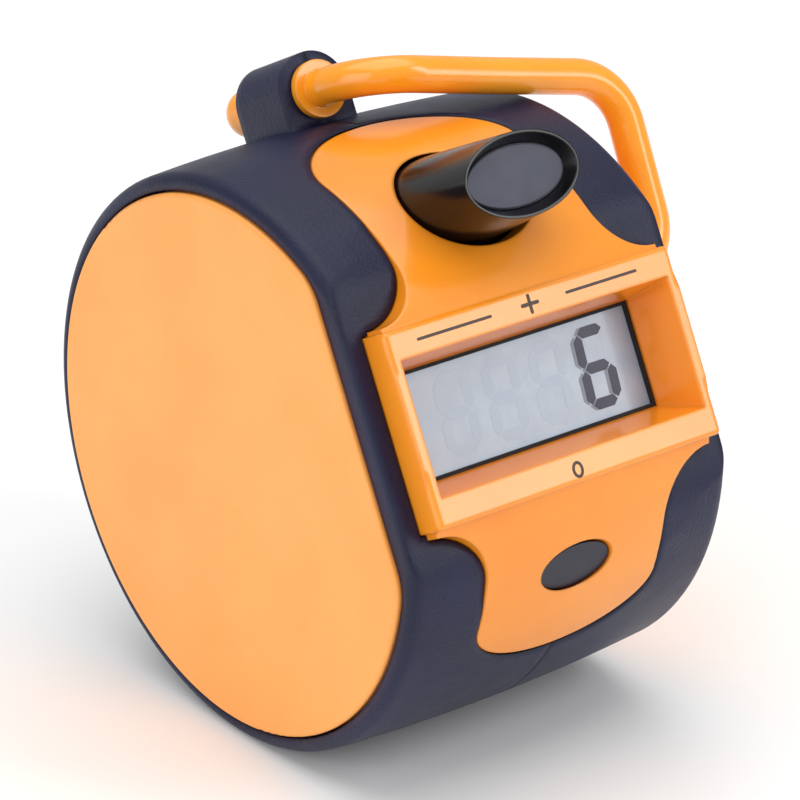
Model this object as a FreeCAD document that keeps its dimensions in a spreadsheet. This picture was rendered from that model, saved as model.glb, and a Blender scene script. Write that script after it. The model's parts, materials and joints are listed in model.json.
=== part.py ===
import FreeCAD, Part
import math
import os
import re

# Hand tally counter with a display: a drum-shaped case in two black half shells, an orange face panel
# and side covers, a count button, a reset button and a finger ring on a pivot.
# Every piece is modelled in the drum's own frame: X along the drum's axis, -Y out of the display and
# +Z up the display, with the origin on the drum's axis. One placement then leans the display back
# and lifts the drum until the flat foot under it stands on Z = 0.

document = FreeCAD.newDocument("tally_counter")
sheet = document.addObject("Spreadsheet::Sheet", "dimensions")

SIZES = {
    "drum_radius": 22.5, "half_width": 14.75, "rim_round": 0.95, "rim_radius": 22.0,
    "wall": 1.5, "front_flat": 19.3, "corner_round": 5.0, "corner_reach": 22.15,
    "lean_angle": 27.2, "foot_depth": 21.9,
    "cover_radius": 20.6, "cover_flat": 17.45, "cover_corner": 4.5, "cover_gap": 0.2,
    "cover_thick": 1.3, "cover_proud": 0.3, "peg_radius": 1.0, "peg_length": 1.2, "peg_circle": 14.0,
    "panel_gap": 0.12, "panel_skin": 1.6, "panel_hollow": 7.0,
    "upper_half": 8.75, "upper_straight": 17.5, "upper_end": 3.6, "upper_flare": 3.9, "flare_top": 10.75,
    "lower_half": 8.3, "lower_straight": 15.9, "lower_end": 2.9, "lower_flare": 4.4, "flare_bottom": 12.6,
    "frame_half": 13.1, "frame_top": 6.55, "frame_bottom": 7.7, "frame_front": 21.8, "frame_round": 0.35,
    "mouth_half": 12.3, "mouth_top": 4.4, "mouth_bottom": 5.55,
    "sight_half": 11.1, "sight_top": 3.45, "sight_bottom": 4.55, "gasket_thick": 0.3, "gasket_show": 0.25,
    "glass_half": 11.8, "glass_top": 4.7, "glass_bottom": 5.8, "glass_thick": 1.8,
    "board_front": 11.6, "board_thick": 1.2, "board_half": 11.0, "board_reach": 16.0,
    "count_height": 14.0, "count_long": 5.0, "count_short": 3.6, "count_gap": 0.22, "count_top": 24.9,
    "count_top_long": 5.1, "count_top_short": 3.05, "count_lean": 0.4, "dish_depth": 1.0,
    "dish_long": 4.4, "dish_short": 2.23, "rim_line": 0.2,
    "reset_height": 13.5, "reset_long": 3.2, "reset_short": 1.42, "reset_gap": 0.14, "reset_sunk": 0.25,
    "button_base": 14.2, "ear_thick": 0.9, "ear_reach": 1.2, "ear_half": 1.0,
    "switch_side": 4.4, "switch_tall": 1.6, "plunger_radius": 1.0, "plunger_play": 0.06,
    "plunger_low": 12.3, "plunger_floor": 11.65,
    "lug_half": 3.0, "lug_front": 3.3, "lug_back": 3.2, "pivot_height": 24.8,
    "rod_radius": 1.4, "pin_play": 0.05, "flange_radius": 2.2, "flange_thick": 0.6,
    "head_long": 2.6, "dome_radius": 1.9, "arm_front": 9.8,
    "boss_circle": 17.5, "boss_radius": 2.2, "screw_radius": 1.0, "screw_hole": 1.15,
    "head_radius": 1.9, "head_recess": 2.1, "head_tall": 1.3, "screw_reach": 8.0,
    "cell_radius": 5.8, "cell_thick": 5.4, "cell_back": 6.0, "cup_wall": 1.3, "cup_play": 0.2,
    "contact_thick": 0.25, "post_radius": 1.6, "post_spread": 5.5, "post_top": 8.3, "post_bottom": 9.0,
    "board_screw": 0.8,
}

for row, (alias, value) in enumerate(SIZES.items(), start=1):
    sheet.set(f"A{row}", alias)
    sheet.set(f"B{row}", str(value))
    sheet.setAlias(f"B{row}", alias)
document.recompute()

BOSS_ANGLES = (105, 180, 255)      # degrees round the drum's axis, from the display's normal
PEG_ANGLES = (60, 140, 220, 300)


def size(alias):
    """The value of one named cell."""
    return float(sheet.get(alias))


def vector(x, y, z):
    return FreeCAD.Vector(x, y, z)


def bind(item, **expressions):
    """Tie each property of a document object to cells of the sheet."""
    for name, expression in expressions.items():
        item.setExpression(name, re.sub(r"[a-z][a-z_]+", r"dimensions.\g<0>", str(expression)))
    return item


def block(name, x, y, z):
    """A box from three (low, high) pairs of expressions."""
    box = document.addObject("Part::Box", name)
    spans = zip(("Length", "Width", "Height"), ("x", "y", "z"), (x, y, z))
    for side, axis, (low, high) in spans:
        bind(box, **{side: f"({high}) - ({low})", "Placement.Base." + axis: low})
    return box


def rod(name, axis, radius, start, length, place=(0, 0, 0)):
    """A cylinder along X or Y that begins at start on that axis; place gives the other coordinates."""
    turned = {"x": FreeCAD.Rotation(vector(0, 1, 0), 90), "y": FreeCAD.Rotation(vector(1, 0, 0), -90)}
    cylinder = document.addObject("Part::Cylinder", name)
    cylinder.Placement = FreeCAD.Placement(vector(0, 0, 0), turned[axis])
    bind(cylinder, Radius=radius, Height=length)
    coordinates = list(place)
    coordinates["xy".index(axis)] = start
    for letter, value in zip("xyz", coordinates):
        bind(cylinder, **{"Placement.Base." + letter: value})
    return cylinder


def cut(name, base, *tools):
    """Take each tool away from the base."""
    for number, tool in enumerate(tools):
        result = document.addObject("Part::Cut", f"{name}_less_{number}")
        result.Base = base
        result.Tool = tool
        base = result
    return base


def fuse(name, *pieces):
    result = document.addObject("Part::MultiFuse", name)
    result.Shapes = list(pieces)
    result.Refine = True
    return result


def common(name, *pieces):
    result = document.addObject("Part::MultiCommon", name)
    result.Shapes = list(pieces)
    return result


def ring_of(name, maker, angles):
    """One document object for each angle round the drum's axis, made by maker(name, angle)."""
    return [maker(f"{name}_{angle}", angle) for angle in angles]


def sketch(name, curves, rotation):
    """A closed sketch from curves given in the sketch's own plane."""
    drawing = document.addObject("Sketcher::SketchObject", name)
    drawing.Placement = FreeCAD.Placement(vector(0, 0, 0), rotation)
    drawing.addGeometry(curves, False)
    return drawing


def extrude(name, drawing, direction, forward, backward=0.0):
    solid = document.addObject("Part::Extrusion", name)
    solid.Base = drawing
    solid.DirMode = "Custom"
    solid.Dir = direction
    solid.LengthFwd = forward
    solid.LengthRev = backward
    solid.Solid = True
    return solid


def polyline(points):
    return [Part.LineSegment(a, b) for a, b in zip(points, points[1:])]


FACE_PLANE = FreeCAD.Rotation(vector(1, 0, 0), 90)                  # sketch x, y -> X, Z
SIDE_PLANE = FreeCAD.Rotation(0.5, 0.5, 0.5, 0.5)                   # sketch x, y -> Y, Z
OUT_OF_FACE = vector(0, -1, 0)


def drum_section(name, radius, flat, corner, low, high, away=0.0):
    """A prism along X with the case's outline: a circle, a flat at the front and rounded corners.

    With away above zero the corners run on along their tangents, clear of the drum's crown.
    """
    centre_y = -(flat - corner)
    centre_z = math.sqrt((radius - corner) ** 2 - centre_y ** 2)
    touch = radius / (radius - corner)
    upper = vector(centre_y * touch, centre_z * touch, 0)
    lower = vector(upper.x, -upper.y, 0)
    half = math.atan2(centre_z, -centre_y) / 2
    mid = vector(centre_y - corner * math.cos(half), centre_z + corner * math.sin(half), 0)
    tangent = vector(upper.y, -upper.x, 0).normalize() * away
    far_upper = upper + tangent
    far_lower = vector(far_upper.x, -far_upper.y, 0)
    curves = [Part.LineSegment(upper, far_upper), Part.LineSegment(lower, far_lower)] if away else []
    curves += [
        Part.Arc(far_upper, vector(far_upper.Length, 0, 0), far_lower),
        Part.Arc(lower, vector(mid.x, -mid.y, 0), vector(-flat, -centre_z, 0)),
        Part.LineSegment(vector(-flat, -centre_z, 0), vector(-flat, centre_z, 0)),
        Part.Arc(vector(-flat, centre_z, 0), mid, upper),
    ]
    drawing = sketch(name + "_outline", curves, SIDE_PLANE)
    return extrude(name, drawing, vector(1, 0, 0), high, -low)


def drum_blank():
    """The crowned drum with its rounded rims, turned about X."""
    half = size("half_width")
    rim = size("rim_round")
    shoulder = half - rim
    diagonal = rim * math.sqrt(0.5)
    top = size("rim_radius")
    crest = vector(0, size("drum_radius"), 0)
    crown = Part.Arc(vector(-shoulder, top, 0), crest, vector(shoulder, top, 0))
    curves = polyline([vector(half, top - rim, 0), vector(half, 0, 0), vector(-half, 0, 0),
                       vector(-half, top - rim, 0)])
    curves.append(Part.Arc(vector(-half, top - rim, 0),
                           vector(-shoulder - diagonal, top - rim + diagonal, 0), vector(-shoulder, top, 0)))
    curves.append(crown)
    curves.append(Part.Arc(vector(shoulder, top, 0),
                           vector(shoulder + diagonal, top - rim + diagonal, 0), vector(half, top - rim, 0)))
    turned = document.addObject("Part::Revolution", "drum_turned")
    turned.Source = sketch("drum_profile", curves, FACE_PLANE)
    turned.Axis = vector(1, 0, 0)
    turned.Angle = 360
    turned.Solid = True
    return turned


def panel_curves(grow):
    """The face panel's outline seen square to the display: two tabs that flare into the frame."""
    def tab(sign, half, straight, end, flare, flare_height):
        half = half + grow
        radius = flare - grow
        side = half + radius
        hidden = vector(side, sign * (flare_height - radius - 2.0), 0)
        knee = vector(side, sign * (flare_height - radius), 0)
        turn = radius * math.sqrt(0.5)
        bend = vector(side - turn, sign * (flare_height - turn), 0)
        waist = vector(half, sign * flare_height, 0)
        shoulder = vector(half, sign * straight, 0)
        crest = vector(0, sign * (straight + end + grow), 0)
        ellipse = Part.Ellipse(vector(0, sign * straight, 0), half, end + grow)
        start, stop = (0, math.pi) if sign > 0 else (math.pi, 2 * math.pi)
        return [hidden, knee, bend, waist, shoulder, crest, Part.ArcOfEllipse(ellipse, start, stop)]

    def flipped(point):
        return vector(-point.x, point.y, 0)

    curves = []
    corners = []
    for sign, part in ((1, ("upper", "flare_top")), (-1, ("lower", "flare_bottom"))):
        prefix, flare_height = part
        sizes = [size(f"{prefix}_{word}") for word in ("half", "straight", "end", "flare")]
        hidden, knee, bend, waist, shoulder, crest, end = tab(sign, *sizes, size(flare_height))
        for mirror in (lambda point: point, flipped):
            curves.append(Part.LineSegment(mirror(hidden), mirror(knee)))
            curves.append(Part.Arc(mirror(knee), mirror(bend), mirror(waist)))
            curves.append(Part.LineSegment(mirror(waist), mirror(shoulder)))
        curves.append(end)
        corners.append(hidden)
    upper, lower = corners
    curves.append(Part.LineSegment(upper, lower))
    curves.append(Part.LineSegment(flipped(upper), flipped(lower)))
    return curves


def panel_prism(name, grow):
    """The panel's outline carried outwards from inside the case."""
    drawing = sketch(name + "_outline", panel_curves(grow), FACE_PLANE)
    solid = extrude(name, drawing, OUT_OF_FACE, 30.0, -5.0)
    frame = block(name + "_frame", (f"-frame_half - {grow}", f"frame_half + {grow}"),
                  ("-30", "-10"), (f"-frame_bottom - {grow}", f"frame_top + {grow}"))
    return fuse(name + "_all", solid, frame)


def oval(name, long, short, height, front, lift="0"):
    """An ellipse square to the display's normal, at one distance in front of the drum's axis."""
    ellipse = document.addObject("Part::Ellipse", name)
    ellipse.Placement = FreeCAD.Placement(vector(0, 0, 0), FACE_PLANE)
    return bind(ellipse, MajorRadius=long, MinorRadius=short, **{
        "Placement.Base.y": f"-({front})", "Placement.Base.z": f"{height} + {lift}"})


def oval_loft(name, *sections):
    """A solid through two or more ovals."""
    loft = document.addObject("Part::Loft", name)
    loft.Sections = [oval(f"{name}_{number}", *section) for number, section in enumerate(sections)]
    loft.Solid = True
    loft.Ruled = True
    return loft


def round_place(radius, angle):
    """Y and Z of a point at an angle round the drum's axis, as expressions."""
    turn = math.radians(angle)
    return f"-({radius}) * {math.cos(turn):.6f}", f"({radius}) * {math.sin(turn):.6f}"


def around(radius, angle):
    """The place of something parallel to X at an angle round the drum's axis."""
    return (0, *round_place(radius, angle))


def lug(side):
    """Half of the eye on top of the drum that holds the ring's pin."""
    low, high = ("-lug_half", "0") if side < 0 else ("0", "lug_half")
    name = "left_lug" if side < 0 else "right_lug"
    arch = rod(name + "_arch", "y", "lug_half", "-lug_front", "lug_front + lug_back", (0, 0, "pivot_height"))
    foot = block(name + "_foot", (low, high), ("-lug_front", "lug_back"),
                 ("drum_radius - wall", "pivot_height"))
    half = block(name + "_half", (low, high), ("-10", "10"), ("pivot_height - 0.5", "pivot_height + 5"))
    return fuse(name, foot, common(name + "_top", arch, half))


def foot_cutter(name):
    """A block that takes the drum's underside down to a flat, level once the display leans back."""
    wide = 40.0
    deep = 10.0
    turn = FreeCAD.Rotation(vector(1, 0, 0), size("lean_angle"))
    corner = vector(-wide / 2, -wide / 2, -deep - size("foot_depth"))
    cutter = document.addObject("Part::Box", name + "_foot_cutter")
    cutter.Length = wide
    cutter.Width = wide
    cutter.Height = deep
    cutter.Placement = FreeCAD.Placement(turn.multVec(corner), turn)
    return cutter


def shell(side, blank):
    """One half of the case, without what only one half has."""
    name = "left" if side < 0 else "right"
    span = ("-20", "0") if side < 0 else ("0", "20")
    half = block(name + "_half", span, ("-40", "40"), ("-40", "40"))
    inside = size("half_width") - size("wall") - (size("cover_thick") - size("cover_proud"))
    ledge = inside + size("wall")
    skin = size("wall")
    radius, flat, corner = size("drum_radius"), size("front_flat"), size("corner_round")
    outline = drum_section(name + "_outer", size("corner_reach"), flat, corner, -20.0, 20.0, away=9.0)
    cavity = drum_section(name + "_cavity", radius - skin, flat - skin, corner - skin, -inside, inside)
    gap = size("cover_gap")
    low, high = (-20.0, -ledge) if side < 0 else (ledge, 20.0)
    recess = drum_section(name + "_recess", size("cover_radius") + gap, size("cover_flat") + gap,
                          size("cover_corner"), low, high)
    walls = cut(name + "_walls", common(name + "_form", blank, outline, half), cavity, recess)
    start = f"-{inside}" if side < 0 else "0"
    bosses = ring_of(name + "_boss", lambda label, angle: rod(
        label, "x", "boss_radius", start, f"{inside}", around("boss_circle", angle)), BOSS_ANGLES)
    pegs = ring_of(name + "_peg_hole", lambda label, angle: rod(
        label, "x", "peg_radius + 0.05", f"{side * ledge} - 1.6", "3.2", around("peg_circle", angle)),
        PEG_ANGLES)
    body = fuse(name + "_case", walls, lug(side), *bosses)
    eye = rod(name + "_eye", "y", "rod_radius + pin_play", "-10", "20", (0, 0, "pivot_height"))
    opening = panel_prism(name + "_panel_hole", size("panel_gap"))
    return cut(name + "_shell_body", body, eye, foot_cutter(name), opening, *pegs), inside, ledge


def left_shell(blank):
    """The half with the cell's cup and the blind holes for the case screws."""
    body, inside, ledge = shell(-1, blank)
    centre = (0, "cell_back", 0)
    depth = "cell_thick + contact_thick + contact_thick"
    cup = rod("cell_cup", "x", "cell_radius + cup_play + cup_wall", f"-{inside}",
              f"cell_thick + contact_thick + contact_thick - wall + cup_wall", centre)
    hollow = rod("cell_hollow", "x", "cell_radius + cup_play", f"-{ledge}", depth, centre)
    holes = ring_of("pilot", lambda label, angle: rod(
        label, "x", "screw_radius", "-screw_reach - 1", "screw_reach + 2", around("boss_circle", angle)),
        BOSS_ANGLES)
    return cut("left_shell", fuse("left_with_cup", body, cup), hollow, *holes)


def right_shell(blank):
    """The half with the through holes and the recesses for the screws' heads."""
    body, inside, ledge = shell(1, blank)
    holes = ring_of("screw_way", lambda label, angle: rod(
        label, "x", "screw_hole", "-1", "30", around("boss_circle", angle)), BOSS_ANGLES)
    recesses = ring_of("head_recess_hole", lambda label, angle: rod(
        label, "x", "head_recess", f"{inside}", "10", around("boss_circle", angle)), BOSS_ANGLES)
    return cut("right_shell", body, *holes, *recesses)


def side_cover(side):
    """A flat disc with the case's outline, four pegs on its back and a softened outer edge."""
    name = "left_cover" if side < 0 else "right_cover"
    outer = size("half_width") + size("cover_proud")
    inner = outer - size("cover_thick")
    low, high = (-outer, -inner) if side < 0 else (inner, outer)
    disc = drum_section(name + "_disc", size("cover_radius"), size("cover_flat"), size("cover_corner"),
                        low, high)
    document.recompute()
    rounded = document.addObject("Part::Fillet", name + "_rounded")
    rounded.Base = disc
    face = low if side < 0 else high
    edges = [number for number, edge in enumerate(disc.Shape.Edges, start=1)
             if abs(edge.BoundBox.XMin - face) < 0.01 and abs(edge.BoundBox.XMax - face) < 0.01]
    rounded.Edges = [(number, 0.3, 0.3) for number in edges]
    start = f"-{inner}" if side < 0 else f"{inner} - peg_length"
    pegs = ring_of(name + "_peg", lambda label, angle: rod(
        label, "x", "peg_radius", start, "peg_length", around("peg_circle", angle)), PEG_ANGLES)
    return fuse(name, rounded, *pegs)


def window_frame():
    """The raised box round the display, its front edges just broken."""
    box = block("frame_box", ("-frame_half", "frame_half"), ("-frame_front", "-front_flat + wall"),
                ("-frame_bottom", "frame_top"))
    document.recompute()
    rounded = document.addObject("Part::Fillet", "frame_rounded")
    rounded.Base = box
    front = -size("frame_front")
    edges = [number for number, edge in enumerate(box.Shape.Edges, start=1)
             if abs(edge.BoundBox.YMin - front) < 0.01]
    rounded.Edges = [(number, size("frame_round"), size("frame_round")) for number in edges]
    return rounded


def window_mouth():
    """The tapered opening down to the display."""
    mouth = document.addObject("Part::Wedge", "window_mouth")
    bind(mouth, Ymin="-frame_front", Ymax="-front_flat + wall + 0.01",
         Xmin="-mouth_half", Xmax="mouth_half", Zmin="-mouth_bottom", Zmax="mouth_top",
         X2min="-sight_half", X2max="sight_half", Z2min="-sight_bottom", Z2max="sight_top")
    return mouth


def front_panel(blank):
    """The orange face: two tabs, the window frame and four posts that carry the board."""
    cavity = drum_section("panel_cavity", size("drum_radius") - size("wall"),
                          size("front_flat") - size("wall"), size("corner_round") - size("wall"), -30, 30)
    tabs = cut("panel_tabs", common("panel_form", panel_prism("panel_body", 0.0), blank), cavity)
    level = block("panel_level", ("-20", "20"), ("-30", "-frame_front"), ("-frame_bottom", "frame_top"))
    hollow_round = rod("panel_hollow_round", "x", "drum_radius - panel_skin", "-panel_hollow",
                       "panel_hollow + panel_hollow")
    hollow_box = block("panel_hollow_box", ("-10", "10"), ("-30", "0"), ("-17", "17"))
    skin = cut("panel_skin_cut", tabs, level, common("panel_hollow_form", hollow_round, hollow_box))
    posts = []
    drills = []
    for number, (sign, height) in enumerate(post_places()):
        place = (f"{sign} * post_spread", 0, height)
        posts.append(rod(f"board_post_{number}", "y", "post_radius", "-19", "19 - board_front", place))
        drills.append(rod(f"post_drill_{number}", "y", "board_screw", "-board_front - 4", "5", place))
    whole = fuse("panel_whole", skin, window_frame(), *posts)
    count_hole = oval_loft("count_hole",
                           ("count_long + count_gap", "count_short + count_gap", "count_height", "5"),
                           ("count_long + count_gap", "count_short + count_gap", "count_height", "30"))
    reset_hole = oval_loft("reset_hole",
                           ("reset_long + reset_gap", "reset_short + reset_gap", "-reset_height", "5"),
                           ("reset_long + reset_gap", "reset_short + reset_gap", "-reset_height", "30"))
    return cut("front_panel", whole, window_mouth(), count_hole, reset_hole, *drills)


def post_places():
    """The side and height of each post between the panel and the board."""
    return [(sign, height) for height in ("post_top", "-post_bottom") for sign in (-1, 1)]


def display_stack():
    """The gasket, the display's glass and the two contact strips that stand on the board."""
    seat = "front_flat - wall"
    outer = block("gasket_outer", ("-glass_half", "glass_half"), (f"-({seat})", f"-({seat}) + gasket_thick"),
                  ("-glass_bottom", "glass_top"))
    inner = block("gasket_inner", ("-sight_half + gasket_show", "sight_half - gasket_show"), ("-30", "0"),
                  ("-sight_bottom + gasket_show", "sight_top - gasket_show"))
    back = f"-({seat}) + gasket_thick"
    glass = block("lcd_glass", ("-glass_half", "glass_half"), (back, f"{back} + glass_thick"),
                  ("-glass_bottom", "glass_top"))
    strips = []
    for name, low, high in (("upper_strip", "glass_top - 1.8", "glass_top - 0.3"),
                            ("lower_strip", "-glass_bottom + 0.3", "-glass_bottom + 1.8")):
        strips.append(block(name, ("-10", "10"), (f"{back} + glass_thick", "-board_front"), (low, high)))
    return cut("gasket", outer, inner), glass, strips


def circuit_board():
    """The board behind the display, with its four screw holes."""
    plate = block("board_plate", ("-board_half", "board_half"),
                  ("-board_front", "-board_front + board_thick"), ("-board_reach", "board_reach"))
    holes = [rod(f"board_hole_{number}", "y", "board_screw + 0.1", "-board_front - 1", "4",
                 (f"{sign} * post_spread", 0, height))
             for number, (sign, height) in enumerate(post_places())]
    return cut("board", plate, *holes)


def controller_chip():
    """The drop of resin over the chip on the board's back."""
    dome = document.addObject("Part::Ellipsoid", "chip_dome")
    dome.Radius1 = 1.1
    dome.Radius2 = 4.0
    dome.Radius3 = 4.0
    dome.Placement = FreeCAD.Placement(vector(0, 0, 0), FACE_PLANE)
    bind(dome, **{"Placement.Base.y": "-board_front + board_thick"})
    behind = block("chip_side", ("-6", "6"), ("-board_front + board_thick", "0"), ("-6", "6"))
    return common("chip", dome, behind)


def switch(name, height):
    """A push switch on the board and the plunger that its button rests on."""
    half = "switch_side / 2"
    box = block(name + "_box", (f"-{half}", half), ("-board_front - switch_tall", "-board_front"),
                (f"{height} - {half}", f"{height} + {half}"))
    bore = rod(name + "_bore", "y", "plunger_radius + plunger_play", "-20", "20 - plunger_floor",
               (0, 0, height))
    plunger = rod(name + "_plunger", "y", "plunger_radius", "-button_base", "button_base - plunger_low",
                  (0, 0, height))
    return cut(name, box, bore), plunger


def ears(name, long, height):
    """The bar across a button's foot that the panel holds it in by."""
    return block(name, (f"-({long}) - ear_reach", f"({long}) + ear_reach"),
                 ("-button_base - ear_thick", "-button_base"),
                 (f"{height} - ear_half", f"{height} + ear_half"))


def count_button():
    """The tall oval thumb button with a dished top."""
    stem = oval_loft("count_stem",
                     ("count_long", "count_short", "count_height", "button_base"),
                     ("count_long", "count_short", "count_height", "button_base + 3"),
                     ("count_top_long", "count_top_short", "count_height", "count_top", "count_lean"))
    dish = oval_loft("count_dish",
                     ("dish_long", "dish_short", "count_height", "count_top - dish_depth", "count_lean"),
                     ("count_top_long - rim_line", "count_top_short - rim_line", "count_height",
                      "count_top + 0.01", "count_lean"))
    return cut("count_button", fuse("count_body", stem, count_ears()), dish)


def count_ears():
    """The count button's bar, clear of the switch below it."""
    return ears("count_ears", "count_long", "count_height - 1")


def reset_button():
    """The small oval button, its face following the drum and just below it."""
    stem = oval_loft("reset_stem",
                     ("reset_long", "reset_short", "-reset_height", "button_base"),
                     ("reset_long", "reset_short", "-reset_height", "25"))
    drum = rod("reset_face", "x", "drum_radius - reset_sunk", "-10", "20")
    bar = ears("reset_ears", "reset_long", "-reset_height + 0.4")
    return fuse("reset_button", common("reset_top", stem, drum), bar)


def case_screw(label, angle):
    """A pan-head screw from the right side, with a crossed slot."""
    inside = size("half_width") - size("wall") - (size("cover_thick") - size("cover_proud"))
    place = around("boss_circle", angle)
    shank = rod(label + "_shank", "x", "screw_radius", "-screw_reach", f"screw_reach + {inside}", place)
    head = rod(label + "_head", "x", "head_radius", f"{inside}", "head_tall", place)
    y, z = round_place("boss_circle", angle)
    slots = [block(f"{label}_slot_{number}", (f"{inside} + head_tall - 0.7", f"{inside} + 5"),
                   (f"{y} - {wide}", f"{y} + {wide}"), (f"{z} - {tall}", f"{z} + {tall}"))
             for number, (wide, tall) in enumerate(((1.1, 0.2), (0.2, 1.1)))]
    return cut(label, fuse(label + "_blank", shank, head), *slots)


def board_screw(number, sign, height):
    """A small screw through the board into a post of the panel."""
    place = (f"{sign} * post_spread", 0, height)
    shank = rod(f"board_shank_{number}", "y", "board_screw", "-board_front - 3.5", "3.5 + board_thick", place)
    head = rod(f"board_head_{number}", "y", "board_screw * 1.9", "-board_front + board_thick", "0.9", place)
    slot = block(f"board_slot_{number}", (f"{place[0]} - 2", f"{place[0]} + 2"),
                 ("-board_front + board_thick + 0.45", "-board_front + board_thick + 3"),
                 (f"{height} - 0.2", f"{height} + 0.2"))
    return cut(f"board_screw_{number}", fuse(f"board_screw_blank_{number}", shank, head), slot)


def cell_and_contacts():
    """The button cell in its cup, with a contact at each face and two leads to the board."""
    ledge = size("half_width") - (size("cover_thick") - size("cover_proud"))
    centre = (0, "cell_back", 0)
    strip = block("positive_strip", (f"-{ledge}", f"-{ledge} + contact_thick"),
                  ("cell_back - 5", "cell_back + 5"), ("-1.5", "1.5"))
    cell_low = f"-{ledge} + contact_thick"
    can = rod("cell_can", "x", "cell_radius", cell_low, "cell_thick - 0.3", centre)
    button = rod("cell_button", "x", "cell_radius - 1.2", cell_low, "cell_thick", centre)
    plate = rod("negative_plate", "x", "cell_radius - 1.6", f"{cell_low} + cell_thick",
                "contact_thick", centre)
    board_back = "board_front - board_thick"
    leads = [rod(f"lead_{number}", "y", "0.4", f"-({board_back})", f"{board_back} + 1.5", (-9, 0, height))
             for number, height in enumerate((-6.5, 6.5))]
    return fuse("cell", can, button), strip, plate, leads


def finger_ring():
    """The moulded rod: a pin through the lug, an elbow, an arm over the drum and a hook beside it."""
    front = -size("arm_front")
    pivot = size("pivot_height")
    elbow = 4.6
    corners = [vector(0, -size("lug_front"), pivot), vector(0, front, pivot), vector(10.5, front, 22.3),
               vector(22.3, front, 19.6), vector(21.9, front, 7.2), vector(17.4, front, 3.2)]
    bends = [elbow, 16.0, 4.5, 4.0]
    path = rounded_path(corners, bends)
    ring = Part.Wire([Part.makeCircle(size("rod_radius"), corners[0], OUT_OF_FACE)])
    rod_shape = path.makePipeShell([ring], True, False)
    tip = Part.makeSphere(size("rod_radius"), corners[-1])
    pin_low = size("lug_back") + 0.1
    pin = Part.makeCylinder(size("rod_radius"), pin_low + size("lug_front"), vector(0, pin_low, pivot),
                            OUT_OF_FACE)
    flange = Part.makeCylinder(size("flange_radius"), size("flange_thick"),
                               vector(0, -size("lug_front") - 0.1, pivot), OUT_OF_FACE)
    dome_centre = vector(0, pin_low + size("head_long"), pivot)
    dome = Part.makeSphere(size("dome_radius"), dome_centre)
    head = Part.makeCylinder(size("dome_radius"), size("head_long"), dome_centre, OUT_OF_FACE)
    item = document.addObject("Part::Feature", "finger_ring_shape")
    item.Shape = rod_shape.multiFuse([tip, pin, flange, head, dome]).removeSplitter()
    return item


def rounded_path(corners, bends):
    """Straight runs through the corners, each corner turned by an arc of the radius given."""
    edges = []
    start = corners[0]
    for before, corner, after, radius in zip(corners, corners[1:], corners[2:], bends):
        come = (corner - before).normalize()
        leave = (after - corner).normalize()
        turn = come.getAngle(leave)
        back = radius * math.tan(turn / 2)
        first = corner - come * back
        last = corner + leave * back
        inward = (leave - come).normalize()
        middle = corner + inward * (radius / math.cos(turn / 2) - radius)
        edges.append(Part.LineSegment(start, first).toShape())
        edges.append(Part.Arc(first, middle, last).toShape())
        start = last
    edges.append(Part.LineSegment(start, corners[-1]).toShape())
    return Part.Wire(edges)


def group(name, pieces):
    """Separate solids that share one node."""
    item = document.addObject("Part::Compound", name)
    item.Links = pieces
    return item


def build():
    """Every node of the counter, by name."""
    blank = drum_blank()
    gasket, glass, strips = display_stack()
    count_switch, count_plunger = switch("count_switch", "count_height - 0.4")
    reset_switch, reset_plunger = switch("reset_switch", "-reset_height")
    cell, strip, plate, leads = cell_and_contacts()
    screws = [board_screw(number, *place) for number, place in enumerate(post_places())]
    return {
        "left_shell": left_shell(blank), "right_shell": right_shell(blank),
        "left_side_cover": side_cover(-1), "right_side_cover": side_cover(1),
        "front_panel": front_panel(blank), "display_gasket": gasket, "lcd_panel": glass,
        "upper_contact_strip": strips[0], "lower_contact_strip": strips[1],
        "circuit_board": circuit_board(), "controller_chip": controller_chip(),
        "count_switch": count_switch, "count_switch_plunger": count_plunger,
        "reset_switch": reset_switch, "reset_switch_plunger": reset_plunger,
        "count_button": count_button(), "reset_button": reset_button(),
        "battery_cell": cell, "battery_contact_positive": strip, "battery_contact_negative": plate,
        "battery_leads": group("leads", leads),
        "case_screws": group("case_screw_set", ring_of("case_screw", case_screw, BOSS_ANGLES)),
        "board_screws": group("board_screw_set", screws),
        "finger_ring": finger_ring(),
    }


def export(nodes):
    """Check the whole document, stand every node in the part's frame and write its solids."""
    document.recompute()
    for item in document.Objects:
        if "Invalid" in item.State or "Error" in item.State:
            raise RuntimeError(f"{item.Name} failed: {item.State}")
    os.makedirs("parts", exist_ok=True)
    lean = FreeCAD.Rotation(vector(1, 0, 0), -size("lean_angle"))
    stand = FreeCAD.Placement(vector(0, 0, size("foot_depth")), lean)
    for name, source in nodes.items():
        item = document.addObject("Part::Feature", name)
        item.Label = name
        item.Shape = source.Shape
        item.Placement = stand.multiply(source.Placement)
        if item.Shape.isNull() or not item.Shape.isValid() or not item.Shape.Solids:
            raise RuntimeError(f"{name} has no valid solid")
        item.Shape.exportStep(f"parts/{name}.step")
        print(name, len(item.Shape.Solids), "solids", round(item.Shape.Volume, 1), "mm3")


export(build())
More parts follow.
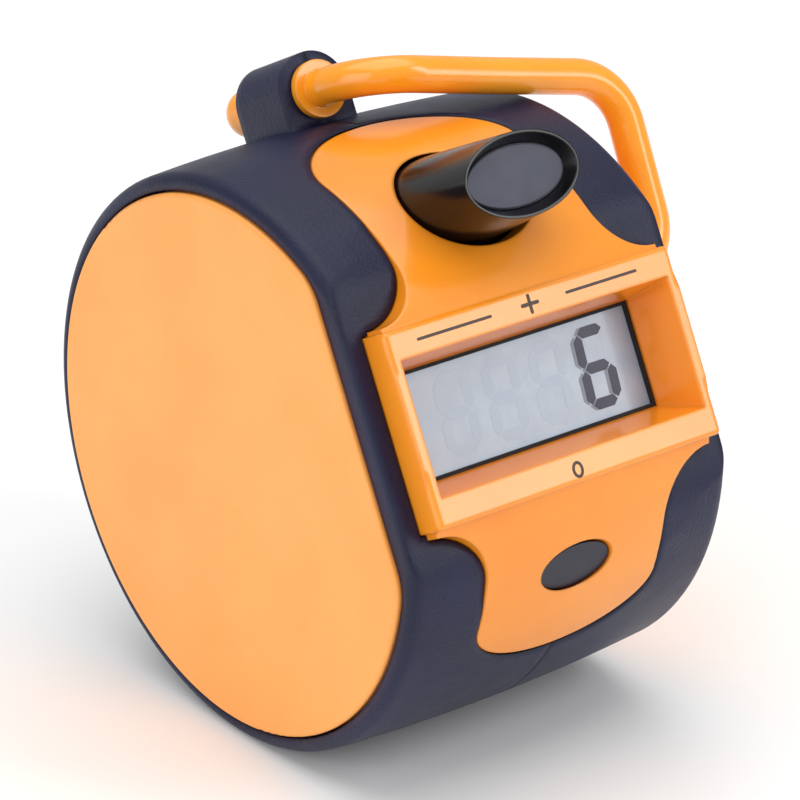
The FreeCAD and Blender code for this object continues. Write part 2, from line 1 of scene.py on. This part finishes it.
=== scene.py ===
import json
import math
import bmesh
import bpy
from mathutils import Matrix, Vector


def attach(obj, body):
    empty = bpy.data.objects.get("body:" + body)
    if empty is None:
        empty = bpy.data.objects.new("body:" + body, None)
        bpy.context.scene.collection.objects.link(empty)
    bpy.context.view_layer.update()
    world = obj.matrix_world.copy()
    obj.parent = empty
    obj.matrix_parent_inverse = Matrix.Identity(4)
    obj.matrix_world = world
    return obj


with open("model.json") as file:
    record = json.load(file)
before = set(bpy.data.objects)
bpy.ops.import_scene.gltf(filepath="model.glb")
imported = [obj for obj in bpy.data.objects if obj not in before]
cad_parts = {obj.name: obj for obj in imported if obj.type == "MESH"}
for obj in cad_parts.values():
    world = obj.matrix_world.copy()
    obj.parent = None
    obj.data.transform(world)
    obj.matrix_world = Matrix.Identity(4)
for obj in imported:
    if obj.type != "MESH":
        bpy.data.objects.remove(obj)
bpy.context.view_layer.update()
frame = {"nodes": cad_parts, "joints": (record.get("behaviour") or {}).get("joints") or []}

# %% [markdown]
# # A hand tally counter
# The counter is a drum 45 mm across. Its two black half shells, orange side covers, orange face
# panel, buttons and finger ring come from the frame, at their real sizes. This lesson gives each of
# them a plastic finish, and adds what is printed or shown on the face: the numeral on the display, two
# thin rules and two marks. It also adds the pad in the count button. It ends with light and a camera.

NODES = frame["nodes"]
JOINTS = {joint["name"]: joint for joint in frame["joints"]}
MM = 0.001

# %% [markdown]
# The display leans back, so nothing on the face lines up with the world's axes. The count button
# slides straight into the face, and that gives the direction in which the face looks. The pin of the
# ring lies straight above the drum's axis as the face sees it, and that gives the middle of the drum.
# With three directions and one centre, every place on the face is three plain numbers: across the
# face, up the face, and out from the drum's axis.

# %% The drum's own directions
ACROSS = Vector((1.0, 0.0, 0.0))
OUT = -Vector(JOINTS["count_button_press"]["axis"]).normalized()
UP = ACROSS.cross(OUT).normalized()
if UP.z < 0.0:
    UP.negate()
PIVOT = Vector(JOINTS["finger_ring_turn"]["pos_m"])
CENTRE = PIVOT - UP * (PIVOT.y / UP.y)
print("face looks along", tuple(round(value, 3) for value in OUT), "drum centre", tuple(CENTRE))


def at(across, up, out):
    """A point given in millimetres in the drum's own directions."""
    return CENTRE + (ACROSS * across + UP * up + OUT * out) * MM


def reach(node, direction):
    """How far a CAD node goes along a direction from the drum's centre, lowest and highest, in mm."""
    distances = [(vertex.co - CENTRE).dot(direction) / MM for vertex in NODES[node].data.vertices]
    return min(distances), max(distances)


FACE = reach("front_panel", OUT)[1]
GLASS = reach("lcd_panel", OUT)[1]
print("frame stands", round(FACE, 2), "mm out, display", round(GLASS, 2), "mm out")

# %% [markdown]
# Colours are written as the sRGB values that a colour picker shows, but shaders add up light, so they
# need linear values. One function turns the first into the second. A second one adds a shader
# node with its settings and its links, so that every material below reads as a short list of nodes.

# %% Two helpers for materials
def linear(code):
    """An sRGB hex code such as F08A1C as a linear colour with alpha."""
    channels = [int(code[place:place + 2], 16) / 255.0 for place in (0, 2, 4)]
    bright = [value / 12.92 if value <= 0.04045 else ((value + 0.055) / 1.055) ** 2.4 for value in channels]
    return (*bright, 1.0)


def add(tree, kind, values=None, links=None, **settings):
    """Add one node, set its attributes and sockets, and link its inputs."""
    item = tree.nodes.new("ShaderNode" + kind)
    for name, value in settings.items():
        setattr(item, name, value)
    for socket, value in (values or {}).items():
        item.inputs[socket].default_value = value
    for socket, output in (links or {}).items():
        tree.links.new(output, item.inputs[socket])
    return item


def new_material(name):
    """An empty node material and its output node."""
    material = bpy.data.materials.new(name)
    material.use_nodes = True
    material.node_tree.nodes.clear()
    return material, material.node_tree, add(material.node_tree, "OutputMaterial")


def speckle(tree, place, grain_mm, detail=3.0):
    """Soft noise whose blobs are about as wide as the grain."""
    return add(tree, "TexNoise", {"Scale": 1.0 / (grain_mm * MM), "Detail": detail, "Roughness": 0.6},
               {"Vector": place.outputs["Object"]})


def spread(tree, source, low, high):
    """Stretch a 0 to 1 value to a range."""
    return add(tree, "MapRange", {"To Min": low, "To Max": high}, {"Value": source})


# %% [markdown]
# Almost every visible piece is moulded ABS, so one recipe makes them all. What differs from piece to
# piece is the colour, how the steel mould was finished, and how much light goes into the plastic.
# A polished mould gives gloss, and a spark-eroded one gives a fine satin grain. No moulded edge is
# truly sharp: a Bevel node bends the light over each edge as a small radius does. The tint varies a
# little over centimetres, since pigment never mixes perfectly. A second, finer noise moves the
# roughness, which breaks up the reflections as handling does.

# %% The moulded plastic recipe
def moulded(name, base, shade, rough, grain_mm, relief_mm, edge_mm, light_in=0.0, gloss=0.0,
            bend=1.54):
    """Moulded plastic: base and shade are two tints that drift together, bend is how it refracts."""
    material, tree, output = new_material(name)
    place = add(tree, "TexCoord")
    drift = speckle(tree, place, 9.0, 2.0)
    tint = add(tree, "ValToRGB", links={"Fac": drift.outputs["Fac"]})
    tint.color_ramp.elements[0].position = 0.35
    tint.color_ramp.elements[0].color = linear(shade)
    tint.color_ramp.elements[1].position = 0.65
    tint.color_ramp.elements[1].color = linear(base)
    grain = speckle(tree, place, grain_mm)
    handling = speckle(tree, place, 2.2)
    sheen = spread(tree, handling.outputs["Fac"], rough * 0.82, rough * 1.18)
    edge = add(tree, "Bevel", {"Radius": edge_mm * MM}, samples=8)
    relief = add(tree, "Bump", {"Strength": 0.6, "Distance": relief_mm * MM},
                 {"Height": grain.outputs["Fac"], "Normal": edge.outputs["Normal"]})
    surface = add(tree, "BsdfPrincipled", {
        "IOR": bend, "Subsurface Weight": light_in, "Subsurface Radius": (1.0, 0.42, 0.12),
        "Subsurface Scale": 0.9 * MM, "Coat Weight": gloss, "Coat Roughness": 0.06}, {
        "Base Color": tint.outputs["Color"], "Roughness": sheen.outputs["Result"],
        "Normal": relief.outputs["Normal"]})
    tree.links.new(surface.outputs["BSDF"], output.inputs["Surface"])
    print("made", name)
    return material


BLACK_ABS = moulded("spark_eroded_black_abs", "11173A", "0D1230", 0.42, 0.24, 0.090, 0.9, bend=1.40)
BUTTON_ABS = moulded("polished_black_abs", "08080D", "050508", 0.20, 0.30, 0.004, 0.12, bend=1.44)
RESET_ABS = moulded("satin_grey_abs", "1B1D2E", "171828", 0.46, 0.20, 0.010, 0.15)
COVER_ABS = moulded("satin_orange_abs", "FDA954", "FAA34C", 0.42, 0.30, 0.003, 0.20, light_in=0.15)
FACE_ABS = moulded("polished_orange_abs", "F59625", "F18F1C", 0.22, 0.60, 0.003, 0.35,
                   light_in=0.15, gloss=0.25)
RING_ABS = moulded("polished_orange_rod", "FCA222", "F89B1A", 0.22, 0.60, 0.004, 0.20,
                   light_in=0.15, gloss=0.25)

# %% [markdown]
# The seam between the half shells is a hairline where two moulded edges meet, each with a tiny radius.
# It could be cut as a groove, but at a tenth of a millimetre the eye sees only the shade in it as a dark
# line, so that shade is painted into the shells' own plastic, by the distance from the drum's middle plane.

# %% Painted shade along the seam in the black plastic
SEAM_WIDE = 0.14
# The painted shade of the seam: a near black mixed into the plastic.
SEAM_SHADE = "050506"


def paint_seam_shade(material, width_mm):
    """Mix the plastic's tint to near black within half a width of the middle plane: painted shade in the
    seam.
    """
    tree = material.node_tree
    surface = next(node for node in tree.nodes if node.type == "BSDF_PRINCIPLED")
    tint = surface.inputs["Base Color"].links[0].from_socket
    place = add(tree, "TexCoord")
    split = add(tree, "SeparateXYZ", links={"Vector": place.outputs["Object"]})
    distance = add(tree, "Math", links={0: split.outputs["X"]}, operation="ABSOLUTE")
    near = add(tree, "Math", {1: width_mm * MM / 2.0}, {0: distance.outputs[0]}, operation="LESS_THAN")
    mix = add(tree, "Mix", links={"Factor": near.outputs[0]}, data_type="RGBA")
    tree.links.new(tint, mix.inputs[6])
    mix.inputs[7].default_value = linear(SEAM_SHADE)
    tree.links.new(mix.outputs[2], surface.inputs["Base Color"])


paint_seam_shade(BLACK_ABS, SEAM_WIDE)
print("seam darkened over", SEAM_WIDE, "mm")

# %% [markdown]
# The display is a sandwich of glass and polarising film over a grey reflector. It looks pale, slightly
# blue and cloudy, with a weak gloss. The cloudiness is the reflector's brushed grain, and faint
# blotches come from the film's glue. It is one material on the plain glass block.

# %% The display
def display_film():
    """Grey reflector seen through film and glass."""
    material, tree, output = new_material("polarising_film_over_glass")
    place = add(tree, "TexCoord")
    cloud = speckle(tree, place, 2.4, 4.0)
    tint = add(tree, "ValToRGB", links={"Fac": cloud.outputs["Fac"]})
    tint.color_ramp.elements[0].position = 0.3
    tint.color_ramp.elements[0].color = linear("93A6BB")
    tint.color_ramp.elements[1].position = 0.7
    tint.color_ramp.elements[1].color = linear("A1B2C4")
    fine = speckle(tree, place, 0.18)
    rough = spread(tree, fine.outputs["Fac"], 0.28, 0.36)
    surface = add(tree, "BsdfPrincipled", {"IOR": 1.50, "Coat Weight": 0.3, "Coat Roughness": 0.10},
                  {"Base Color": tint.outputs["Color"], "Roughness": rough.outputs["Result"]})
    tree.links.new(surface.outputs["BSDF"], output.inputs["Surface"])
    return material


FILM = display_film()
print("made", FILM.name)

# %% [markdown]
# The inside pieces are seldom seen, but each still gets the finish of what it is made of: plated
# metal for the cell, its contacts and the screws, solder mask for the board, soft rubber for the
# contact strips and foam for the gasket. Metals share one recipe, where fine scratches along the
# surface move the roughness.

# %% Metals, and the other inside finishes
def metal(name, base, rough, grain_mm):
    """Plated metal with a fine uneven polish."""
    material, tree, output = new_material(name)
    place = add(tree, "TexCoord")
    grain = speckle(tree, place, grain_mm)
    polish = spread(tree, grain.outputs["Fac"], rough * 0.7, rough * 1.3)
    edge = add(tree, "Bevel", {"Radius": 0.1 * MM}, samples=4)
    relief = add(tree, "Bump", {"Strength": 0.3, "Distance": 0.004 * MM},
                 {"Height": grain.outputs["Fac"], "Normal": edge.outputs["Normal"]})
    surface = add(tree, "BsdfPrincipled", {"Base Color": linear(base), "Metallic": 1.0},
                  {"Roughness": polish.outputs["Result"], "Normal": relief.outputs["Normal"]})
    tree.links.new(surface.outputs["BSDF"], output.inputs["Surface"])
    return material


CELL_STEEL = metal("nickel_plated_steel", "C9C8C2", 0.28, 0.4)
SCREW_STEEL = metal("zinc_plated_steel", "B9BCC0", 0.34, 0.3)
CONTACT_STEEL = metal("nickel_spring_steel", "C4BEAE", 0.30, 0.5)
BOARD = moulded("green_solder_mask", "1E6B3A", "185A30", 0.35, 0.5, 0.006, 0.1, gloss=0.3)
RESIN = moulded("cured_black_epoxy", "121214", "0C0C0E", 0.22, 1.0, 0.01, 0.1, gloss=0.4)
FOAM = moulded("black_closed_cell_foam", "17171A", "101012", 0.85, 0.25, 0.06, 0.05)
RUBBER = moulded("pink_conductive_silicone", "C98A90", "B97A82", 0.55, 0.3, 0.01, 0.1, light_in=0.2)
SWITCH = moulded("switch_black_nylon", "26262A", "1E1E22", 0.5, 0.3, 0.01, 0.1)
LEAD = moulded("red_pvc_sleeve", "A31B1B", "8F1616", 0.4, 0.4, 0.006, 0.05)

# %% [markdown]
# One table says which piece of the frame gets which finish. A piece that is missing from it would stay
# plain, so the cell prints how many pieces it has finished.

# %% Which node gets which finish
FINISHES = {
    BLACK_ABS: ("left_shell", "right_shell"), COVER_ABS: ("left_side_cover", "right_side_cover"),
    FACE_ABS: ("front_panel",), RING_ABS: ("finger_ring",), BUTTON_ABS: ("count_button",),
    RESET_ABS: ("reset_button",), FILM: ("lcd_panel",), FOAM: ("display_gasket",),
    RUBBER: ("upper_contact_strip", "lower_contact_strip"), BOARD: ("circuit_board",),
    RESIN: ("controller_chip",), LEAD: ("battery_leads",), CELL_STEEL: ("battery_cell",),
    SWITCH: ("count_switch", "count_switch_plunger", "reset_switch", "reset_switch_plunger"),
    CONTACT_STEEL: ("battery_contact_positive", "battery_contact_negative"),
    SCREW_STEEL: ("case_screws", "board_screws"),
}
for finish, names in FINISHES.items():
    for name in names:
        NODES[name].data.materials.clear()
        NODES[name].data.materials.append(finish)
print(sum(len(names) for names in FINISHES.values()), "of", len(NODES), "nodes finished")

# %% [markdown]
# Ink and liquid crystal are films a few hundredths of a millimetre thick. They could be painted in a
# material, but small flat solids keep crisp outlines at any distance. One function makes such a film
# from an outline given in millimetres on the face.

# %% Films on the face
def place_piece(name, shape, material, body):
    """Turn a finished bmesh into an object that rides on a body."""
    mesh = bpy.data.meshes.new(name)
    bmesh.ops.recalc_face_normals(shape, faces=shape.faces)
    shape.to_mesh(mesh)
    shape.free()
    piece = bpy.data.objects.new(name, mesh)
    bpy.context.scene.collection.objects.link(piece)
    mesh.materials.append(material)
    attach(piece, body)


def film(name, outline, out, thick, material):
    """A thin solid with the outline's points (across, up), lying at a height out from the axis."""
    shape = bmesh.new()
    lower = [shape.verts.new(at(across, up, out)) for across, up in outline]
    upper = [shape.verts.new(at(across, up, out + thick)) for across, up in outline]
    shape.faces.new(lower)
    shape.faces.new(upper)
    for first in range(len(outline)):
        second = (first + 1) % len(outline)
        shape.faces.new((lower[first], lower[second], upper[second], upper[first]))
    place_piece(name, shape, material, "case")


def rounded_bar(start, end, half, steps=8):
    """The outline of a stroke with round ends."""
    first, last = Vector(start), Vector(end)
    heading = math.atan2(last.y - first.y, last.x - first.x)
    outline = []
    for middle, turn in ((last, heading - math.pi / 2.0), (first, heading + math.pi / 2.0)):
        for step in range(steps + 1):
            angle = turn + math.pi * step / steps
            outline.append((middle.x + half * math.cos(angle), middle.y + half * math.sin(angle)))
    return outline


INK = moulded("dark_brown_pad_ink", "3A2412", "2E1C0E", 0.45, 0.3, 0.002, 0.02)
CRYSTAL = moulded("dark_liquid_crystal", "1A1F46", "161A3A", 0.4, 0.5, 0.002, 0.02)
GHOST = moulded("faint_liquid_crystal", "91A4B9", "98ABBF", 0.32, 0.5, 0.002, 0.02, gloss=0.3, bend=1.50)
SHADOW = moulded("shadow_below_the_crystal", "74808F", "7B8796", 0.45, 0.5, 0.002, 0.02)

# %% [markdown]
# Each numeral on such a display is made of seven bars with pointed ends, a gap between neighbours and
# a slight lean. Bars that are off still show faintly, and a lit bar drops a soft shadow on the
# reflector behind the glass. The display here shows a single 6 in its last place.

# %% The numeral
DIGIT_WIDE = 3.25
DIGIT_TALL = 6.1
BAR_HALF = 0.40
BAR_GAP = 0.10
LEAN = 0.06
DIGIT_STEP = 4.35
LAST_DIGIT = 5.55
DIGIT_FOOT = -3.55
LIT = "afgedc"
SHADOW_SHIFT = (-0.32, 0.02)
ON_GLASS = GLASS + 0.001
OVER_SHADOW = GLASS + 0.012


def bar_ends():
    """The two ends of each of the seven bars, a to g, before they lean."""
    wide, tall = DIGIT_WIDE - 2 * BAR_HALF, DIGIT_TALL - 2 * BAR_HALF
    return {
        "a": ((0, tall), (wide, tall)), "g": ((0, tall / 2), (wide, tall / 2)), "d": ((0, 0), (wide, 0)),
        "f": ((0, tall / 2), (0, tall)), "e": ((0, 0), (0, tall / 2)),
        "b": ((wide, tall / 2), (wide, tall)), "c": ((wide, 0), (wide, tall / 2)),
    }


def bar_outline(ends, left, foot):
    """Six points: a bar with pointed ends, leaning with its height."""
    start, end = Vector(ends[0]), Vector(ends[1])
    along = (end - start).normalized()
    side = Vector((-along.y, along.x)) * BAR_HALF
    start, end = start + along * BAR_GAP, end - along * BAR_GAP
    shoulder = along * BAR_HALF
    points = (start, start + shoulder + side, end - shoulder + side, end, end - shoulder - side,
              start + shoulder - side)
    return [(left + BAR_HALF + point.x + LEAN * (point.y - DIGIT_TALL / 2.0), foot + BAR_HALF + point.y)
            for point in points]


for place_number in range(4):
    digit_left = LAST_DIGIT - DIGIT_STEP * place_number
    for letter, ends in bar_ends().items():
        lit = place_number == 0 and letter in LIT
        outline = bar_outline(ends, digit_left, DIGIT_FOOT)
        if lit:
            shifted = [(x + SHADOW_SHIFT[0], y + SHADOW_SHIFT[1]) for x, y in outline]
            film(f"crystal_{letter}", outline, OVER_SHADOW, 0.01, CRYSTAL)
            film(f"crystal_shadow_{letter}", shifted, ON_GLASS, 0.005, SHADOW)
        else:
            film(f"crystal_off_{place_number}_{letter}", outline, ON_GLASS, 0.004, GHOST)
print("display drawn")

# %% [markdown]
# Above the window two thin rules are pad-printed in dark ink. Plain marks stand for what the buttons
# do: a plus sign between the rules for the one that adds, and a nought under the window for the one
# that clears.

# %% The printed rules and marks
RULE_UP = 5.45
RULE_HALF = 0.11
PLUS_MIDDLE = -0.3
PLUS_ACROSS = 0.7
PLUS_UP = 0.6
PLUS_HALF = 0.14
INK_THICK = 0.012
for side, (start, end) in (("left", (-10.4, -3.9)), ("right", (3.1, 9.6))):
    film(f"printed_rule_{side}", rounded_bar((start, RULE_UP), (end, RULE_UP), RULE_HALF), FACE,
         INK_THICK, INK)
level = rounded_bar((PLUS_MIDDLE - PLUS_ACROSS, RULE_UP), (PLUS_MIDDLE + PLUS_ACROSS, RULE_UP), PLUS_HALF)
upright = rounded_bar((PLUS_MIDDLE, RULE_UP - PLUS_UP), (PLUS_MIDDLE, RULE_UP + PLUS_UP), PLUS_HALF)
film("printed_plus_across", level, FACE, INK_THICK, INK)
film("printed_plus_up", upright, FACE, INK_THICK + 0.002, INK)
print("rules and plus printed", INK_THICK, "mm thick")

# %% [markdown]
# The nought has a hole, so it is built from two ovals, one inside the other.

# %% The nought
def nought(name, across, up, wide, tall, stroke, sides=32):
    """A printed 0: quads between an outer and an inner oval, closed into a thin solid."""
    shape = bmesh.new()
    rings = []
    for height in (FACE, FACE + INK_THICK):
        for inset in (0.0, stroke):
            turns = [2 * math.pi * step / sides for step in range(sides)]
            rings.append([shape.verts.new(at(across + (wide / 2 - inset) * math.cos(turn),
                                             up + (tall / 2 - inset) * math.sin(turn), height))
                          for turn in turns])
    low_out, low_in, high_out, high_in = rings
    for step in range(sides):
        after = (step + 1) % sides
        for one, two in ((low_out, low_in), (low_in, high_in), (high_in, high_out), (high_out, low_out)):
            shape.faces.new((one[step], one[after], two[after], two[step]))
    place_piece(name, shape, INK, "case")


nought("printed_nought", -0.35, -6.75, 1.0, 1.25, 0.24)
print("nought printed")

# %% [markdown]
# The thumb lands on an oval pad of matt grey plastic in the bottom of the button's dish. It is a
# separate moulding pressed into the glossy button, with a softly rounded edge. Its place comes from the
# button itself: the middle of the rim, and a depth below it.

# %% The thumb pad
PAD_LONG = 4.34
PAD_SHORT = 2.18
PAD_EDGE = 0.10
DISH_DEPTH = 1.0
PAD_LIFT = 0.002


def rim_middle():
    """Up and out, in mm, of the middle of the count button's rim."""
    top = reach("count_button", OUT)[1]
    rim = [vertex.co - CENTRE for vertex in NODES["count_button"].data.vertices
           if (vertex.co - CENTRE).dot(OUT) / MM > top - 0.05]
    ups = [point.dot(UP) / MM for point in rim]
    return (min(ups) + max(ups)) / 2.0, top


def thumb_pad(material):
    """A low oval dome: rings that step in and up over a rounded edge to a flat middle."""
    up, top = rim_middle()
    floor_out = top - DISH_DEPTH
    shape = bmesh.new()
    profile = [(0.0, PAD_LIFT)]
    profile += [(PAD_EDGE * (1 - math.cos(turn)), PAD_LIFT + PAD_EDGE * math.sin(turn))
                for turn in (math.pi / 8, math.pi / 4, 3 * math.pi / 8, math.pi / 2)]
    sides = 96
    rings = []
    for inset, height in profile:
        rings.append([shape.verts.new(at((PAD_LONG - inset) * math.cos(2 * math.pi * step / sides),
                                         up + (PAD_SHORT - inset) * math.sin(2 * math.pi * step / sides),
                                         floor_out + height)) for step in range(sides)])
    for lower, upper in zip(rings, rings[1:]):
        for step in range(sides):
            after = (step + 1) % sides
            shape.faces.new((lower[step], lower[after], upper[after], upper[step]))
    shape.faces.new(rings[-1])
    shape.faces.new(rings[0])
    place_piece("thumb_pad", shape, material, "count_button")
    return floor_out


PAD_ABS = moulded("scratched_grey_abs", "3A3D50", "343748", 0.50, 0.35, 0.015, 0.08)
print("thumb pad set", round(thumb_pad(PAD_ABS), 2), "mm out")

# %% [markdown]
# The counter stands on a plain pale floor, wide enough that its edge never shows. Three
# large soft lights do the rest. One overhead fills, one at the left evens out the side cover, and one
# at the right draws the long highlights on the polished face.

# %% Floor
floor_mesh = bpy.data.meshes.new("floor")
floor_mesh.from_pydata([(-3, -3, 0), (3, -3, 0), (3, 3, 0), (-3, 3, 0)], [], [(0, 1, 2, 3)])
floor = bpy.data.objects.new("floor", floor_mesh)
bpy.context.scene.collection.objects.link(floor)
floor_finish, floor_tree, floor_output = new_material("pale_paper")
floor_place = add(floor_tree, "TexCoord")
floor_grain = speckle(floor_tree, floor_place, 1.0)
floor_rough = spread(floor_tree, floor_grain.outputs["Fac"], 0.85, 0.95)
floor_surface = add(floor_tree, "BsdfPrincipled", {"Base Color": linear("F4F4F4")},
                    {"Roughness": floor_rough.outputs["Result"]})
floor_tree.links.new(floor_surface.outputs["BSDF"], floor_output.inputs["Surface"])
floor_mesh.materials.append(floor_finish)

print("floor laid")

# %% [markdown]
# The world gives an even white light from all round, as a light tent does. The softboxes add shape.

# %% Lights
WORLD_LIGHT = 0.52
world = bpy.data.worlds.new("studio") if bpy.context.scene.world is None else bpy.context.scene.world
bpy.context.scene.world = world
world.use_nodes = True
background = next(item for item in world.node_tree.nodes if item.type == "BACKGROUND")
background.inputs["Color"].default_value = (1.0, 1.0, 1.0, 1.0)
background.inputs["Strength"].default_value = WORLD_LIGHT


def softbox(name, place_m, size_m, watts):
    """A rectangular area light aimed at the drum."""
    lamp = bpy.data.lights.new(name, "AREA")
    lamp.shape = "RECTANGLE"
    lamp.size, lamp.size_y = size_m
    lamp.energy = watts
    item = bpy.data.objects.new(name, lamp)
    item.location = place_m
    item.rotation_euler = (CENTRE - Vector(place_m)).to_track_quat("-Z", "Y").to_euler()
    bpy.context.scene.collection.objects.link(item)


softbox("overhead_softbox", (0.0, 0.05, 0.60), (0.7, 0.7), 2.6)
softbox("left_softbox", (-0.60, -0.15, 0.25), (0.5, 0.5), 1.5)
softbox("right_softbox", (0.35, -0.50, 0.35), (0.18, 0.5), 1.5)
print("three softboxes lit")

# %% [markdown]
# The film-like view that Blender starts with greys out bright orange, which is most of this object. The
# plain sRGB view keeps each plastic's own colour, so the picture is looked at through that.

# %% View
bpy.context.scene.view_settings.view_transform = "Standard"
print("view is", bpy.context.scene.view_settings.view_transform)

# %% [markdown]
# A long lens stands well back at the upper left, so the drum is hardly distorted and both the side cover
# and the face are seen.

# %% Camera
CAMERA_FROM = (-168.3, -214.7, 124.9)
CAMERA_TOWARDS = (0.565, 0.715, -0.413)
CAMERA_LENS = 179.5
camera = bpy.data.objects.new("camera", bpy.data.cameras.new("camera"))
bpy.context.scene.collection.objects.link(camera)
camera.data.sensor_width = 36.0
camera.data.lens = CAMERA_LENS
camera.location = CENTRE + Vector(CAMERA_FROM) * MM
camera.rotation_euler = Vector(CAMERA_TOWARDS).to_track_quat("-Z", "Y").to_euler()
camera.data.clip_start = 0.01
bpy.context.scene.camera = camera
print("camera set with a", CAMERA_LENS, "mm lens")
